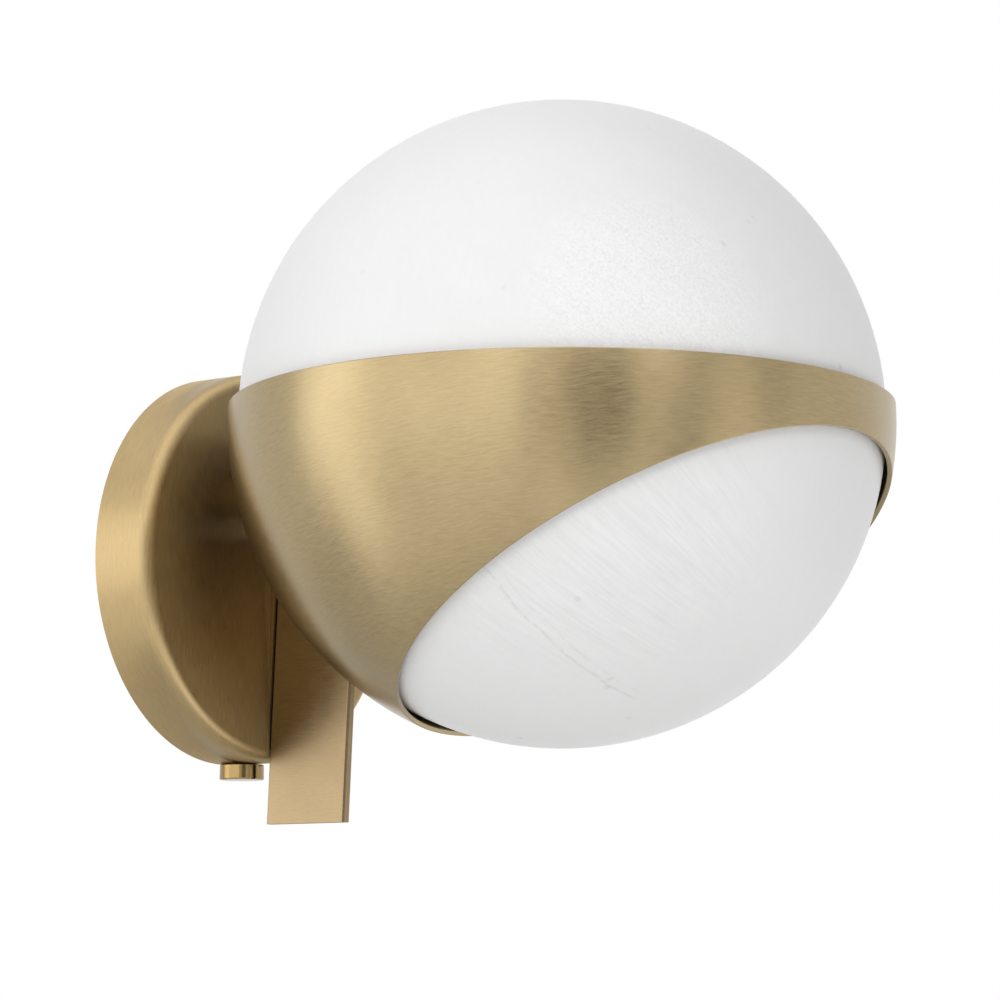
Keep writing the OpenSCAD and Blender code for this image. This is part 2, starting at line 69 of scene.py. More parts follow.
CRADLE_RADIUS = (CRADLE_HIGH.y - CRADLE_LOW.y) / 2
CANOPY_RADIUS, CANOPY_FACE = CANOPY_HIGH.x, CANOPY_LOW.y
NIPPLE_RADIUS = (NIPPLE_HIGH.x - NIPPLE_LOW.x) / 2
NIPPLE_LEVEL = (NIPPLE_LOW.z + NIPPLE_HIGH.z) / 2
GLOBE_RADIUS = (GLOBE_HIGH.y - GLOBE_LOW.y) / 2
GLOBE_CENTRE = Vector((0, (CRADLE_LOW.y + CRADLE_HIGH.y) / 2, GLOBE_HIGH.z - GLOBE_RADIUS))
BAR_RAKE = math.radians(2.8)
# Turns a piece's own +Z out from the wall
OUTWARD = (math.pi / 2, 0.0, 0.0)
# Rows of faces in one coil of a thread, and the seed that turns loose pieces
COIL_ROWS, LOOSE_SEED = 8, 11
# Ways from the globe's centre: along the streaks, square to the long vein, and to the middle of each mark: the
# vein, the streaks that carry painted glints, and the painted highlight with its painted glints
VEIN_WAY = (0.484, -0.525, -0.7)
LONG_VEIN = (0.008, -0.92, 0.392)
VEIN_FIELD = (-0.555, -0.344, -0.757)
STRAND_FIELD = (-0.68, -0.59, -0.435)
HIGHLIGHT_FIELD = (-0.65, -0.73, 0.2)


class Link:
    """One node's output. Arithmetic on it adds Math nodes to its tree."""

    def __init__(self, net, socket):
        self.net = net
        self.socket = socket

    def math(self, operation, *others):
        """The value put through a Math node, with the others that the operation takes."""
        return self.net.math(operation, self, *others)

    def __add__(self, other):
        return self.math("ADD", other)

    __radd__ = __add__

    def __mul__(self, other):
        return self.math("MULTIPLY", other)

    __rmul__ = __mul__

    def __sub__(self, other):
        return self.math("SUBTRACT", other)

    def __rsub__(self, other):
        return self.net.math("SUBTRACT", other, self)

    def __truediv__(self, other):
        return self.math("DIVIDE", other)

    def __rtruediv__(self, other):
        return self.net.math("DIVIDE", other, self)

    def __neg__(self):
        return self * -1.0

    def ramp(self, low, high):
        """Rises smoothly from 0 at low to 1 at high."""
        return self.net.add(
            "ShaderNodeMapRange",
            {"interpolation_type": "SMOOTHSTEP"},
            {"Value": self, "From Min": low, "From Max": high},
        )


def spaced(inputs):
    """Socket names from keywords, which hold no spaces."""
    return {key.replace("_", " "): value for key, value in inputs.items()}


class Net:
    """Adds nodes to one shader or geometry tree."""

    def __init__(self, tree):
        self.tree = tree

    def supply(self, node, inputs):
        """Links or sets a node's inputs, given by name or number."""
        for name, value in inputs.items():
            if isinstance(value, Link):
                self.tree.links.new(value.socket, node.inputs[name])
            else:
                node.inputs[name].default_value = value

    def add(self, kind, settings=None, inputs=None, out=0):
        node = self.tree.nodes.new(kind)
        for name, value in (settings or {}).items():
            setattr(node, name, value)
        self.supply(node, inputs or {})
        return Link(self, node.outputs[out])

    def math(self, operation, *values):
        return self.add("ShaderNodeMath", {"operation": operation}, dict(enumerate(values)))

    def split(self, vector):
        """The three parts of a vector."""
        parts = self.add("ShaderNodeSeparateXYZ", inputs={0: vector})
        return [Link(self, s) for s in parts.socket.node.outputs]

    def join(self, x, y, z):
        return self.add("ShaderNodeCombineXYZ", inputs={0: x, 1: y, 2: z})

    def vector(self, operation, *values, out=0):
        return self.add("ShaderNodeVectorMath", {"operation": operation}, dict(enumerate(values)), out)

    def scale(self, vector, factor):
        return self.add("ShaderNodeVectorMath", {"operation": "SCALE"}, {0: vector, "Scale": factor})

    def mix(self, factor, a, b):
        """A colour between a and b."""
        return self.add("ShaderNodeMix", {"data_type": "RGBA"}, {0: factor, 6: a, 7: b}, 2)

    def noise(self, place, scale, detail=3.0, distortion=0.0):
        """Soft patches from 0 to 1; scale is how many lie along a metre."""
        return self.add(
            "ShaderNodeTexNoise",
            inputs={"Vector": place, "Scale": scale, "Detail": detail, "Distortion": distortion},
        )


class Finish(Net):
    """A surface material with one Principled shader."""

    def __init__(self, name, **constants):
        self.material = bpy.data.materials.new(name)
        self.material.use_nodes = True
        super().__init__(self.material.node_tree)
        self.feed(**constants)
        self.place = self.add("ShaderNodeTexCoord", out=3)

    def feed(self, **values):
        """Supplies the shader's sockets and gives the material."""
        self.supply(self.tree.nodes["Principled BSDF"], spaced(values))
        return self.material

    def bump(self, height, depth):
        return self.add("ShaderNodeBump", inputs={"Height": height, "Distance": depth, "Strength": 1.0})


def rgba(colour, level=1.0):
    return (*(c * level for c in colour), 1.0)


# The kinds of setting that a user can change
def tint(name, description, default):
    return FloatVectorProperty(
        name=name, description=description, subtype="COLOR", default=default, min=0, max=1,
    )


def measure(name, description, default, least=0.0):
    return FloatProperty(name=name, description=description, unit="LENGTH", default=default, min=least)


def share(name, description, default):
    return FloatProperty(name=name, description=description, subtype="FACTOR", default=default, min=0, max=1)


def degrees(name, description, default):
    return FloatProperty(name=name, description=description, subtype="ANGLE", default=math.radians(default))


class BrassFinish(bpy.types.PropertyGroup):
    """The satin and the polished brass."""

    colour: tint("Satin colour", "Colour of the brushed brass", (0.375, 0.292, 0.16))
    patina: tint("Patina", "Colour of the faint brown cast in the brass", (0.31, 0.235, 0.125))
    polished: tint("Polished colour", "Colour of the bright knob and fittings", (0.3, 0.205, 0.085))
    stroke: measure("Brush stroke", "Length of one brush stroke", 6 * MM, MM)
    grain: measure("Grain", "Width of one brush stroke", 0.6 * MM, 0.1 * MM)
    roughness: share("Roughness", "How satin the brushed brass is", 0.34)
    stretch: share("Stretch", "How far a highlight is drawn out across the strokes", 0.75)


class GlassFinish(bpy.types.PropertyGroup):
    """The white glass of the globe."""

    colour: tint("Colour", "Colour of the white glass", (0.93, 0.93, 0.93))
    veins: share("Veins", "How dark the thin vein and the specks are", 0.1)
    # Figure also scales the painted highlight and the painted glints on the glass
    figure_and_painted_light: FloatProperty(
        name="Figure", description="Strength of the pale streaks and grain in the glass", default=1.0, min=0,
    )
    ripple: measure("Ripple", "Depth of the ripples in the glass", 0.09 * MM)


class CradleSizes(bpy.types.PropertyGroup):
    """Sizes of the brass cradle."""

    sheet: measure("Sheet", "Thickness of the cradle's sheet", 1.6 * MM, 0.5 * MM)
    tilt: degrees("Opening tilt", "Angle below level of the opening's axis", 59.7)
    spread: degrees("Opening spread", "Angle from the opening's axis to its edge", 53.4)
    edge: measure("Edge", "Radius of the cradle's softened edges", 0.35 * MM)
    columns: IntProperty(name="Columns", description="Faces round the cradle", default=288, min=24)
    rows: IntProperty(name="Rows", description="Faces from the rim to the opening", default=36, min=4)


class StudioSettings(bpy.types.PropertyGroup):
    """Lights, floor and camera."""

    lens: FloatProperty(name="Lens", description="Focal length in millimetres", default=111.6, min=10)
    fill: FloatProperty(name="Fill", description="Level of the light from all round", default=0.2, min=0)
    level: FloatProperty(name="Level", description="Brightness of all the panels together", default=1.0, min=0)


def streaks(net, along, across, stroke, grain):
    """Brush strokes: noise drawn out along the surface's brushing, with a slow drift from side to side."""
    drift = net.noise(net.join(along, across, 0.0), 60.0, 2.0) * 3.0
    return net.noise(net.join(along / stroke, across / grain + drift, 0.0), 1.0, 4.0) - 0.5


def brushed_brass(name, brushing, turn, tone_and_painted_light=(1.0, 1.0, 1.0), softer=None, seam=None):
    """Satin brass, brushed the way that brushing gives from the place.

    The turn of the drawn-out highlight is a share of a full turn. The tint shifts the brass's tone and makes it
    lighter or darker as painted light; softer adds roughness, and seam darkens a joint as painted shade.
    """
    brass = bpy.context.scene.sconce_brass
    finish = Finish(name, Metallic=1.0, Anisotropic=brass.stretch, Anisotropic_Rotation=turn)
    x, y, z = finish.split(finish.place)
    lines, hair = brushing(finish, x, y, z, brass.stroke, brass.grain)
    cloud = finish.noise(finish.place, 22.0)
    tone = finish.mix(cloud.ramp(0.45, 0.75) * 0.5, rgba(brass.colour), rgba(brass.patina))
    level = 1.0 + lines * 0.44 + hair * 0.24
    if seam:
        # Painted shade: the brass is darkened along the groove between the bar and the canopy
        level = level * (1.0 - seam(y, z) * 0.85)
    rough = brass.roughness + softer(x, z) if softer else brass.roughness
    return finish.feed(
        Base_Color=finish.scale(finish.vector("MULTIPLY", tone, tone_and_painted_light), level),
        Roughness=rough + lines * 0.2 + (cloud - 0.5) * 0.08,
        Normal=finish.bump(lines + hair * 0.6, 0.02 * MM),
    )


def coarse_and_fine(net, along, across, stroke, grain):
    """Long strokes, and shorter, thinner ones between them."""
    return [streaks(net, along, across, stroke * size, grain * size) for size in (1.0, 0.4)]


def round_globe(net, x, y, z, stroke, grain):
    """Strokes that run level under the rim and turn to follow the opening's edge further down."""
    tilt = bpy.context.scene.sconce_cradle.tilt
    forward, up = GLOBE_CENTRE.y - y, z - GLOBE_CENTRE.z
    bearing = x.math("ARCTAN2", forward)
    length = (x * x + forward * forward + up * up).math("SQRT")
    fall = (up / length).math("ARCSINE")
    to_axis = ((forward * math.cos(tilt) - up * math.sin(tilt)) / length).math("ARCCOSINE")
    wave = (net.noise(net.place, 90.0, 2.0) - 0.5) * 2 * MM
    across = (fall * 0.8 + to_axis * 0.2) * CRADLE_RADIUS + wave
    return coarse_and_fine(net, bearing * CRADLE_RADIUS, across, stroke, grain)


def canopy_sheen(x, z):
    """Rougher on the canopy's wall and rounded edge than on its flat face."""
    flat, edge = CANOPY_RADIUS - 34 * MM, CANOPY_RADIUS - 5 * MM
    return (x * x + z * z).math("SQRT").ramp(flat, edge) * 0.14 - 0.02


def bar_groove_shade(y, z):
    """1 along the groove where the raked bar meets the wedge that fills up to the canopy: the mask of the
    painted shade there.
    """
    foot = -CANOPY_RADIUS + 4 * MM
    away = (CANOPY_FACE - y) - (z - foot) * math.tan(BAR_RAKE)
    return 1.0 - away.math("ABSOLUTE").ramp(0.25 * MM, 0.7 * MM)


def canopy_grain(net, x, y, z, stroke, grain):
    """Strokes round the canopy's wall, and upright ones on its face."""
    wall = coarse_and_fine(net, x.math("ARCTAN2", z) * CANOPY_RADIUS, y, stroke, grain)
    face = coarse_and_fine(net, z, x, stroke, grain)
    front = (-y).ramp(-CANOPY_FACE - 2 * MM, -CANOPY_FACE)
    return [w + (f - w) * front for w, f in zip(wall, face)]


def round_nipple(net, x, y, z, stroke, grain):
    """Strokes that run in rings round the lamp's axis, on a sleeve about 8 mm in radius."""
    return coarse_and_fine(net, x.math("ARCTAN2", z - NIPPLE_LEVEL) * 8 * MM, y, stroke, grain)


def across_bar(net, x, y, z, stroke, grain):
    """Strokes that run straight out from the wall."""
    return coarse_and_fine(net, y, z + x, stroke, grain)


def polished_brass(name):
    """Bright brass with faint smears."""
    brass = bpy.context.scene.sconce_brass
    finish = Finish(name, Metallic=1.0)
    smear = finish.noise(finish.place, 180.0)
    tone = finish.mix(smear.ramp(0.4, 0.8) * 0.5, rgba(brass.polished), rgba(brass.polished, 0.8))
    return finish.feed(
        Base_Color=tone,
        Roughness=0.13 + smear * 0.1,
        Normal=finish.bump(finish.noise(finish.place, 900.0), 0.004 * MM),
    )


def zinc_steel(name):
    """Zinc-plated steel with a fine spangle."""
    finish = Finish(name, Metallic=1.0)
    cloud = finish.noise(finish.place, 90.0, 4.0)
    spangle = finish.add("ShaderNodeTexVoronoi", inputs={"Vector": finish.place, "Scale": 700.0}, out=1)
    grey = finish.add("ShaderNodeRGBToBW", inputs={0: spangle})
    tone = finish.mix(cloud.ramp(0.35, 0.7), (0.6, 0.61, 0.62, 1), (0.5, 0.49, 0.45, 1))
    return finish.feed(
        Base_Color=finish.scale(tone, 0.92 + grey * 0.14),
        Roughness=0.3 + cloud * 0.2,
        Normal=finish.bump(cloud + grey * 0.4, 0.01 * MM),
    )


def white_glass():
    """Milky glass with streaks that carry painted glints, a painted highlight with painted glints, a double
    vein and specks, and a rippled surface.
    """
    glass = bpy.context.scene.sconce_glass
    finish = Finish("White glass", IOR=1.5, Specular_IOR_Level=0.2)
    centred = finish.vector("SUBTRACT", finish.place, tuple(GLOBE_CENTRE))

    def reach(way):
        """How far the place lies that way from the globe's centre."""
        return finish.vector("DOT_PRODUCT", centred, way, out=1)

    def near(way, wide, close):
        """1 where the surface faces that way, fading to 0 further round."""
        return reach(way).ramp(GLOBE_RADIUS * wide, GLOBE_RADIUS * close)

    def line(distance, core, rim):
        """1 on a thin line, fading to 0 at its rim."""
        return 1.0 - distance.math("ABSOLUTE").ramp(core, rim)

    # Streaks and bands run down meridians from the pole that the vein's way points at
    along = reach(VEIN_WAY)
    ring = finish.vector("NORMALIZE", finish.vector("SUBTRACT", centred, finish.scale(VEIN_WAY, along)))
    drawn = finish.vector("ADD", finish.scale(ring, GLOBE_RADIUS), finish.scale(VEIN_WAY, along * 0.07))
    # Near this field the streaks are partly the glass's own figure and partly painted glints of the key light
    # on its ripples
    field = near(STRAND_FIELD, 0.82, 0.97)
    strands_and_painted_glints = (finish.noise(drawn, 900.0, 3.0, 0.6) - 0.5) * field
    off_pole = 1.0 - along.math("ABSOLUTE").ramp(GLOBE_RADIUS * 0.3, GLOBE_RADIUS * 0.75)
    bands = (finish.noise(drawn, 75.0, 2.0) - 0.5) * off_pole

    # The painted highlight, with painted glints and ripples in it, and a faint upright grain all over
    # Mask of the painted highlight and its painted glints, where the key light's reflection falls
    bright = near(HIGHLIGHT_FIELD, 0.91, 0.985)
    fine = finish.noise(centred, 1100.0, 3.0, 0.4) - 0.5
    ripple_and_painted_glints = (fine + (finish.noise(drawn, 800.0, 2.0, 0.8) - 0.5) * 0.35) * bright
    upright = finish.vector("MULTIPLY", centred, (1.0, 1.0, 0.08))
    faint = finish.noise(upright, 500.0, 3.0, 0.5) - 0.5
    cloud = finish.noise(centred, 35.0, 5.0, 0.5)

    # The double vein is a beaded line with a thinner one beside it
    wobble = (finish.noise(centred, 60.0) - 0.5) * 4 * MM
    seam = reach(LONG_VEIN) + wobble - 2.2 * MM
    beads = finish.noise(centred, 420.0, 2.0).ramp(0.3, 0.6)
    double = line(seam, 0.15 * MM, 0.8 * MM) + line(seam - 3.2 * MM, 0.1 * MM, 0.6 * MM) * 0.5
    vein = double * beads * near(VEIN_FIELD, 0.92, 0.95)
    cell = finish.add("ShaderNodeTexVoronoi", inputs={"Vector": centred, "Scale": 110.0})
    rare = finish.noise(centred, 70.0, 1.0).ramp(0.55, 0.64)
    specks = (1.0 - cell.ramp(0.05, 0.16)) * rare

    # bright * 0.04 paints the highlight itself; the fine noise in the same place paints glints into the colour
    figure_and_painted_light = strands_and_painted_glints * 0.2 + ripple_and_painted_glints * 0.3 + bright * 0.04 + faint * 0.035 + bands * 0.05 + (cloud - 0.5) * 0.02
    level = 1.0 + figure_and_painted_light * glass.figure_and_painted_light - (vein + specks) * glass.veins
    ripple = finish.noise(drawn, 500.0, 3.0, 0.5) * field * 0.5 + ripple_and_painted_glints * 1.6 + faint * 0.3
    return finish.feed(
        Base_Color=finish.scale(rgba(glass.colour)[:3], level),
        Roughness=0.3 + cloud * 0.1,
        Normal=finish.bump(ripple, glass.ripple),
    )


def grained(name, colour, roughness, grain, depth, variation=0.05, **constants):
    """A plain material with a fine surface grain and an uneven tone."""
    finish = Finish(name, **constants)
    cloud = finish.noise(finish.place, grain * 0.12)
    fine = finish.noise(finish.place, grain)
    level = 1.0 + (cloud - 0.5) * 2 * variation + (fine - 0.5) * variation
    tone = finish.mix(fine, rgba(colour), rgba(colour, 0.97))
    return finish.feed(
        Base_Color=finish.scale(tone, level), Roughness=roughness + (fine - 0.5) * 0.15,
        Normal=finish.bump(fine, depth),
    )


def ceramic(name):
    return grained(name, (0.83, 0.81, 0.76), 0.5, 1400.0, 0.02 * MM, 0.03)


SHARED = {"Polished brass": polished_brass, "Zinc steel": zinc_steel, "Ceramic": ceramic}


def ready(name):
    """A material that several pieces share, made the first time that one needs it."""
    return bpy.data.materials.get(name) or SHARED[name](name)


def earth_insulation():
    """Green insulation with a yellow stripe along the side."""
    finish = Finish("Green and yellow insulation", Roughness=0.4)
    x = finish.split(finish.place)[0]
    fine = finish.noise(finish.place, 1500.0)
    tone = finish.mix(x.ramp(0.35 * MM, 0.4 * MM), (0.09, 0.32, 0.08, 1), (0.75, 0.62, 0.05, 1))
    return finish.feed(Base_Color=finish.scale(tone, 0.95 + fine * 0.1), Normal=finish.bump(fine, 0.01 * MM))


def dress(material, *nodes):
    """Puts a material on CAD nodes that keep their own shape."""
    for name in nodes:
        mesh = NODES[name].data
        for index in range(len(mesh.materials)):
            mesh.materials[index] = material


def added(name, data):
    """A new object in the scene."""
    obj = bpy.data.objects.new(name, data)
    bpy.context.scene.collection.objects.link(obj)
    return obj


def settled(obj):
    """The object with its modifiers made final, as a plain mesh."""
    graph = bpy.context.evaluated_depsgraph_get()
    obj.update_tag()
    graph.update()
    mesh = bpy.data.meshes.new_from_object(obj.evaluated_get(graph))
    obj.modifiers.clear()
    obj.data = mesh
    mesh.name = obj.name
    return obj


class Maker(Net):
    """A Geometry Nodes tree with named inputs, run on one object and made a plain mesh."""

    KINDS = {
        float: "NodeSocketFloat", int: "NodeSocketInt", tuple: "NodeSocketVector",
        bpy.types.Material: "NodeSocketMaterial",
    }

    def __init__(self, name, **values):
        super().__init__(bpy.data.node_groups.new(name, "GeometryNodeTree"))
        self.name = name
        self.values = values
        face = self.tree.interface
        for side in ("INPUT", "OUTPUT"):
            face.new_socket("Geometry", in_out=side, socket_type="NodeSocketGeometry")
        self.keys = {
            label: face.new_socket(label, in_out="INPUT", socket_type=self.KINDS[type(value)]).identifier
            for label, value in values.items()
        }
        self.entry = self.tree.nodes.new("NodeGroupInput")

    def given(self, label):
        return Link(self, self.entry.outputs[label])

    def shape(self, kind, settings=None, **inputs):
        """A Geometry Nodes node, named without its prefix."""
        return self.add(f"GeometryNode{kind}", settings, spaced(inputs))

    def joined(self, parts):
        """All the parts as one geometry."""
        whole = self.shape("JoinGeometry")
        for part in parts:
            self.tree.links.new(part.socket, whole.socket.node.inputs[0])
        return whole

    def smoothed(self, geometry, limit):
        """Smooth faces that stay sharp where they meet at more than the limit, in radians."""
        soft = self.shape("SetShadeSmooth", Geometry=geometry)
        bend = self.shape("InputMeshEdgeAngle")
        return self.shape(
            "SetShadeSmooth", {"domain": "EDGE"}, Geometry=soft, Shade_Smooth=False,
            Selection=bend.math("GREATER_THAN", limit),
        )

    def finish(self, geometry, mesh=None):
        """Ends the tree, runs it and gives the object that it made."""
        real = self.shape("RealizeInstances", Geometry=geometry)
        done = self.shape("SetMaterial", Geometry=real, Material=self.given("Material"))
        out = self.tree.nodes.new("NodeGroupOutput")
        self.tree.links.new(done.socket, out.inputs[0])
        obj = added(self.name, mesh or bpy.data.meshes.new(self.name))
        modifier = obj.modifiers.new("Maker", "NODES")
        modifier.node_group = self.tree
        for label, value in self.values.items():
            modifier[self.keys[label]] = value
        return settled(obj)


def stand_for(obj, node):
    """Hangs a finished piece on the body of the CAD node that it stands for, and hides that node."""
    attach(obj, BODY_OF[node])
    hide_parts(node)


def depth_of(node):
    """A CAD node's size from front to back."""
    low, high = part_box(node)
    return high.y - low.y


def spots(node, radius, across=1, up=1):
    """Where a row or block of round pieces starts from, at the back of a node's box."""
    low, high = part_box(node)
    columns, rows = [
        [a + radius + (b - a - 2 * radius) * (i / (count - 1) if count > 1 else 0.5) for i in range(count)]
        for a, b, count in ((low.x, high.x, across), (low.z, high.z, up))
    ]
    return [(x, high.y, z) for x in columns for z in rows]


def rounded(corners, steps=4):
    """An outline whose corners (radius, height, rounding) are eased."""
    outline = []
    count = len(corners)
    for i, (radius, height, ease) in enumerate(corners):
        here = Vector((radius, height))
        if not ease:
            outline.append(here)
            continue
        before, after = (Vector(corners[(i + k) % count][:2]) - here for k in (-1, 1))
        start, end = here + before.normalized() * ease, here + after.normalized() * ease
        for k in range(steps + 1):
            t = k / steps
            outline.append(start * (1 - t) ** 2 + here * 2 * t * (1 - t) + end * t ** 2)
    return outline


def turned(name, outline, columns, section=None):
    """A closed mesh turned about +Z from a closed outline; section bends each ring to its own shape."""
    bm = bmesh.new()
    rings = []
    for radius, height in outline:
        ring = []
        for column in range(columns):
            angle = math.tau * column / columns
            r, z = section(angle, radius, height) if section else (radius, height)
            ring.append(bm.verts.new((r * math.cos(angle), r * math.sin(angle), z)))
        rings.append(ring)
    for low, high in zip(rings, rings[1:] + rings[:1]):
        for k in range(columns):
            bm.faces.new((low[k], low[k - 1], high[k - 1], high[k]))
    bmesh.ops.remove_doubles(bm, verts=bm.verts, dist=HAIR / 100)
    bmesh.ops.dissolve_degenerate(bm, edges=bm.edges, dist=HAIR / 100)
    bmesh.ops.recalc_face_normals(bm, faces=bm.faces)
    mesh = bpy.data.meshes.new(name)
    bm.to_mesh(mesh)
    bm.free()
    return mesh


def coils(radius, start, pitch, first, last):
    """Outline rows close enough together for a thread of that pitch."""
    return [(radius, start + pitch * k / COIL_ROWS, 0) for k in range(first, last)]


def repeated(
    template, node, places, material, facing=OUTWARD, loosen=0.0, slot=None, thread=None, crease=0.45,
):
    """Copies of a turned piece for a CAD node, each cut with its thread and slot and turned at random.

    slot is (top, width, depth); thread is (radius, pitch, depth, low, high), all along the piece's own +Z.
    Edges sharper than the crease, in radians, stay sharp.
    """
    values = {"Facing": facing, "Loosen": loosen, "Seed": LOOSE_SEED, "Material": material}
    values.update({f"Place {i + 1}": tuple(place) for i, place in enumerate(places)})
    if slot:
        values.update(zip(("Slot top", "Slot width", "Slot depth"), slot))
    if thread:
        values.update(zip(("Crest", "Pitch", "Thread depth", "Thread start", "Thread end"), thread))
    maker = Maker(template.name, **values)
    piece = maker.given("Geometry")
    if thread:
        piece = cut_thread(maker, piece)
    if slot:
        size = maker.join(1.0, maker.given("Slot width"), maker.given("Slot depth") * 2.0)
        cutter = maker.shape(
            "Transform", Geometry=maker.shape("MeshCube", Size=size),
            Translation=maker.join(0.0, 0.0, maker.given("Slot top")),
        )
        piece = maker.shape("MeshBoolean", {"operation": "DIFFERENCE"}, Mesh_1=piece, Mesh_2=cutter)
    points = maker.joined(
        maker.shape("Points", Count=1, Position=maker.given(f"Place {i + 1}")) for i in range(len(places))
    )
    spread = maker.given("Loosen")
    turn = maker.add(
        "FunctionNodeRandomValue", {"data_type": "FLOAT"}, {2: -spread, 3: spread, 8: maker.given("Seed")}, 1,
    )
    x, y, z = maker.split(maker.given("Facing"))
    facing_now = maker.add("FunctionNodeEulerToRotation", inputs={0: maker.join(x, y + turn, z)})
    copies = maker.shape(
        "InstanceOnPoints", Points=points, Instance=maker.smoothed(piece, crease), Rotation=facing_now,
    )
    stand_for(maker.finish(copies, template), node)


def cut_thread(maker, piece):
    """Sinks a V groove that winds round the crest radius, between the thread's start and end."""
    x, y, z = maker.split(maker.shape("InputPosition"))
    radius = (x * x + y * y).math("SQRT")
    crest, depth = maker.given("Crest"), maker.given("Thread depth")
    start, end = maker.given("Thread start"), maker.given("Thread end")
    winding = (z / maker.given("Pitch") - y.math("ARCTAN2", x) / math.tau).math("FRACT")
    groove = 1.0 - (winding - 0.5).math("ABSOLUTE") * 2.0
    fade = (z - start).math("MINIMUM", end - z) / maker.given("Pitch")
    on_crest = radius.math("GREATER_THAN", crest - HAIR)
    sunk = groove * depth * on_crest * fade.math("MAXIMUM", 0.0).math("MINIMUM", 1.0)
    shift = maker.join(-(x / radius) * sunk, -(y / radius) * sunk, 0.0)
    return maker.shape("SetPosition", Geometry=piece, Offset=shift)


def merged_copy(name, node, material):
    """An object with a CAD node's shape, its loose triangles merged."""
    source = NODES[node].data
    bm = bmesh.new()
    mesh = bpy.data.meshes.new(name)
    mesh.from_pydata([v.co for v in source.vertices], [], [p.vertices for p in source.polygons])
    bm.from_mesh(mesh)
    bmesh.ops.remove_doubles(bm, verts=bm.verts, dist=0.0005 * MM)
    bmesh.ops.dissolve_limit(bm, angle_limit=math.radians(0.4), verts=bm.verts, edges=bm.edges)
    for face in bm.faces:
        face.smooth = True
    bm.to_mesh(mesh)
    bm.free()
    mesh.materials.append(material)
    return added(name, mesh)


def eased(obj, width, segments, sharp, clamp=True):
    """Eases the edges that are sharper than that angle, in degrees, and makes the object plain."""
    edge = obj.modifiers.new("Edge", "BEVEL")
    edge.width, edge.segments, edge.limit_method = width, segments, "ANGLE"
    edge.angle_limit, edge.use_clamp_overlap, edge.harden_normals = math.radians(sharp), clamp, True
    return settled(obj)


def softened(name, node, width, material, segments=3, clamp=False):
    """A CAD node's shape with its sharp edges eased; clamp narrows the width where edges are short."""
    stand_for(eased(merged_copy(name, node, material), width, segments, 35, clamp), node)


def swept_smooth(name, node, material):
    """A wire's faceted tube made round, at its full thickness."""
    obj = merged_copy(name, node, material)
    finer = obj.modifiers.new("Round", "SUBSURF")
    finer.levels = finer.render_levels = 2
    grow = obj.modifiers.new("Full", "DISPLACE")
    grow.strength, grow.mid_level = 0.1 * MM, 0.0
    stand_for(settled(obj), node)


def make_cradle(material):
    """The cradle's curved sheet: from its level rim down each meridian to the tilted opening."""
    sizes = bpy.context.scene.sconce_cradle
    maker = Maker(
        "cradle_shell", Radius=CRADLE_RADIUS, Rim=CRADLE_HIGH.z - GLOBE_CENTRE.z, Tilt=sizes.tilt,
        Spread=sizes.spread, Columns=sizes.columns, Rows=sizes.rows, Material=material,
    )
    radius, tilt = maker.given("Radius"), maker.given("Tilt")
    sheet = maker.shape(
        "MeshGrid", Size_X=1.0, Size_Y=1.0,
        Vertices_X=maker.given("Columns") + 1, Vertices_Y=maker.given("Rows") + 1,
    )
    u, v, _ = maker.split(maker.shape("InputPosition"))
    turn = u * math.tau
    forward = turn.math("COSINE") * tilt.math("COSINE")
    down = tilt.math("SINE")
    reach = (forward * forward + down * down).math("SQRT")
    axis = (-down).math("ARCTAN2", forward)
    opening = axis + (maker.given("Spread").math("COSINE") / reach).math("ARCCOSINE")
    rim = (maker.given("Rim") / radius).math("ARCSINE")
    level = rim + (opening - rim) * (v + 0.5)
    flat = level.math("COSINE") * radius
    place = maker.join(
        flat * turn.math("SINE") + GLOBE_CENTRE.x,
        GLOBE_CENTRE.y - flat * turn.math("COSINE"),
        level.math("SINE") * radius + GLOBE_CENTRE.z,
    )
    bent = maker.shape("SetPosition", Geometry=sheet, Position=place)
    closed = maker.shape("MergeByDistance", Geometry=bent, Distance=HAIR / 10)
    flipped = maker.shape("FlipFaces", Mesh=closed)
    obj = maker.finish(maker.shape("SetShadeSmooth", Geometry=flipped))
    solid = obj.modifiers.new("Sheet", "SOLIDIFY")
    solid.thickness, solid.offset = sizes.sheet, -1.0
    return eased(obj, sizes.edge, 3, 50)


class SCONCE_OT_cradle(bpy.types.Operator):
    """Makes the cradle that the globe rests in"""

    bl_idname = "sconce.cradle"
    bl_label = "Cradle"

    def execute(self, context):
        stand_for(make_cradle(brushed_brass("Brass brushed level", round_globe, 0.25)), "cradle")
        return {"FINISHED"}


class SCONCE_OT_canopy(bpy.types.Operator):
    """Finishes the canopy, the bar and the sleeve behind the cradle"""

    bl_idname = "sconce.canopy"
    bl_label = "Canopy and bar"

    def execute(self, context):
        # The canopy's brass is a lighter copy with a warmer tone; the lightening is painted light
        spun = brushed_brass("Canopy brass", canopy_grain, 0.0, (1.14, 1.085, 1.0), softer=canopy_sheen)
        dress(spun, "canopy")
        # The bar's brass is a darker copy of the same brass: painted shade
        flat = brushed_brass("Bar brass", across_bar, 0.25, (0.77, 0.735, 0.76), seam=bar_groove_shade)
        softened("bar", "support_bar", 0.12 * MM, flat)
        softened("sleeve", "spacer_sleeve", 0.2 * MM, brushed_brass("Brass turned", round_nipple, 0.0))
        return {"FINISHED"}


